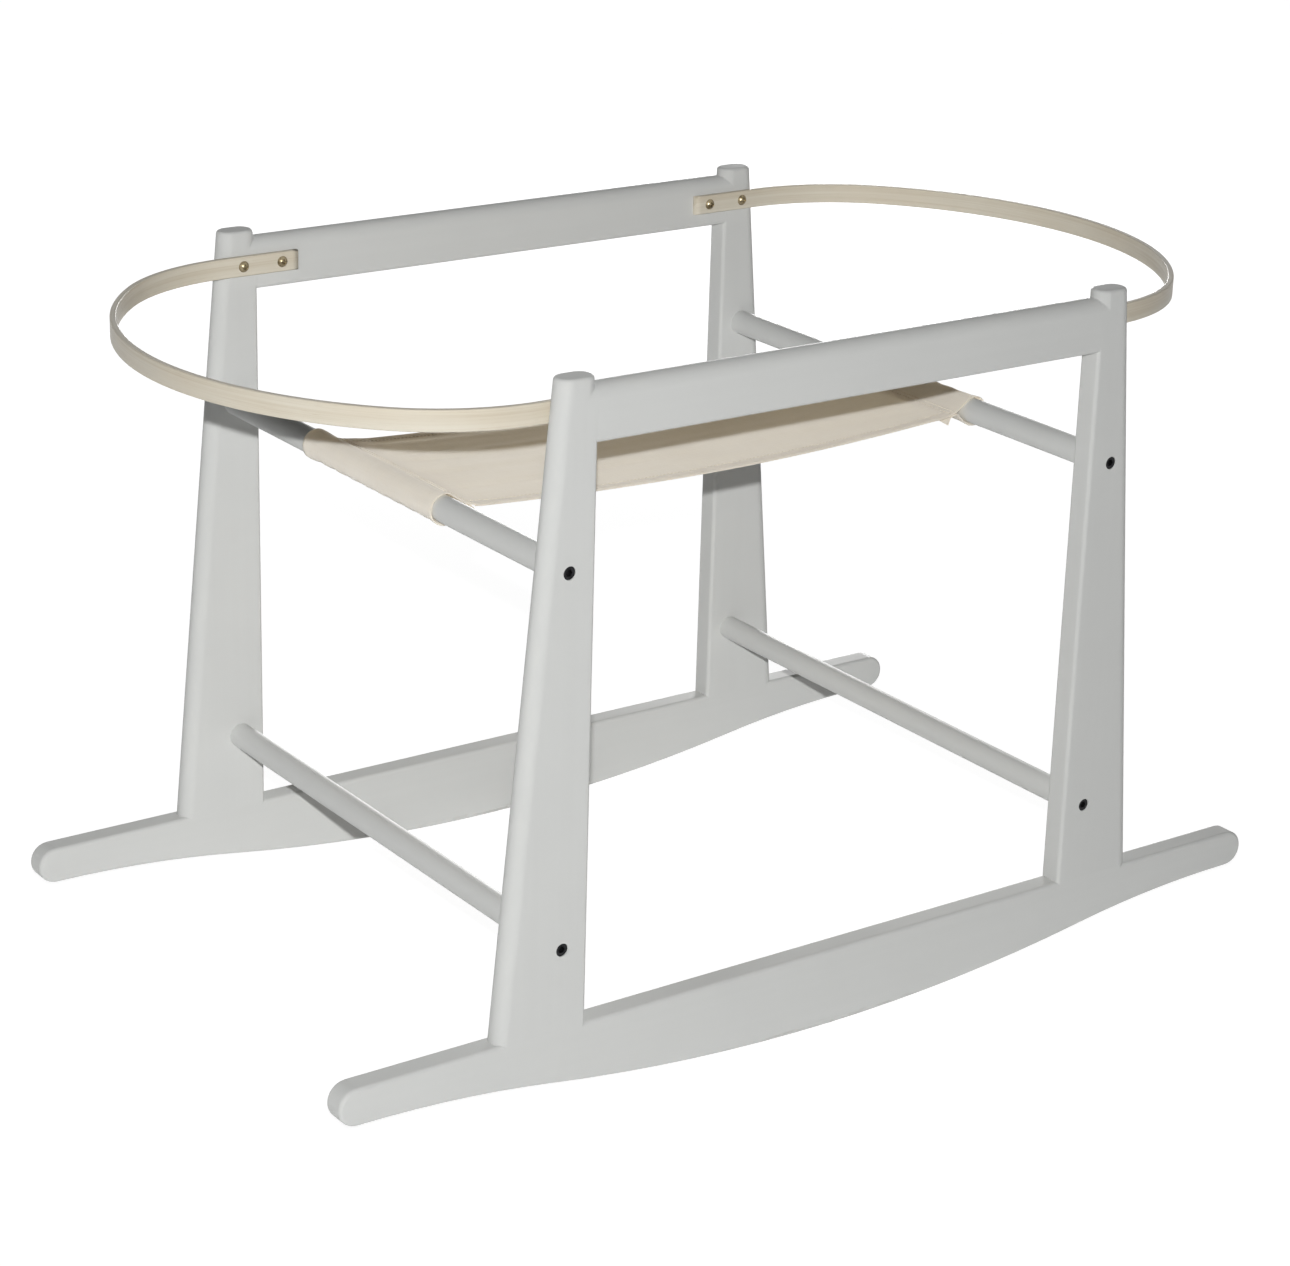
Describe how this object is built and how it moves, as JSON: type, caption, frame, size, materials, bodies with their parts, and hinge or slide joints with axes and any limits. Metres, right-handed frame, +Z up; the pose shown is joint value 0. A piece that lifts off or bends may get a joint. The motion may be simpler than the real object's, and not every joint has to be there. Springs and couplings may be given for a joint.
{
  "type": "moses basket stand",
  "caption": "Rocking stand for a moses basket: grey rocker frames joined by round crossbars, a canvas sling between the upper bars and bent wood hoops round the top.",
  "frame": {"origin": "Centre of the footprint, on the floor under the lowest line of the rockers.", "axes": "+X runs along the rockers, which is the way the stand rocks; +Y runs from the front frame to the rear frame along the crossbars; +Z is up."},
  "size_m": [0.8318, 0.47, 0.52],
  "materials": {
    "frame_paint": "satin paint",
    "hoop_wood": "clear satin",
    "sling_canvas": "plain weave",
    "bolt_black": "black satin",
    "screw_nickel": "nickel satin",
    "insert_zinc": "zinc",
    "pin_wood": "bare"
  },
  "bodies": {
    "root": {"front_rocker": "frame_paint", "rear_rocker": "frame_paint", "front_left_post": "frame_paint", "front_right_post": "frame_paint", "rear_left_post": "frame_paint", "rear_right_post": "frame_paint", "front_top_rail": "frame_paint", "rear_top_rail": "frame_paint", "upper_left_crossbar": "frame_paint", "upper_right_crossbar": "frame_paint", "lower_left_crossbar": "frame_paint", "lower_right_crossbar": "frame_paint", "left_hoop": "hoop_wood", "right_hoop": "hoop_wood", "left_hoop_screws": "screw_nickel", "right_hoop_screws": "screw_nickel", "front_crossbar_bolts": "bolt_black", "rear_crossbar_bolts": "bolt_black", "front_crossbar_inserts": "insert_zinc", "rear_crossbar_inserts": "insert_zinc", "front_rail_pins": "pin_wood", "rear_rail_pins": "pin_wood", "front_foot_pins": "pin_wood", "rear_foot_pins": "pin_wood", "sling": "sling_canvas"}
  },
  "joints": []
}
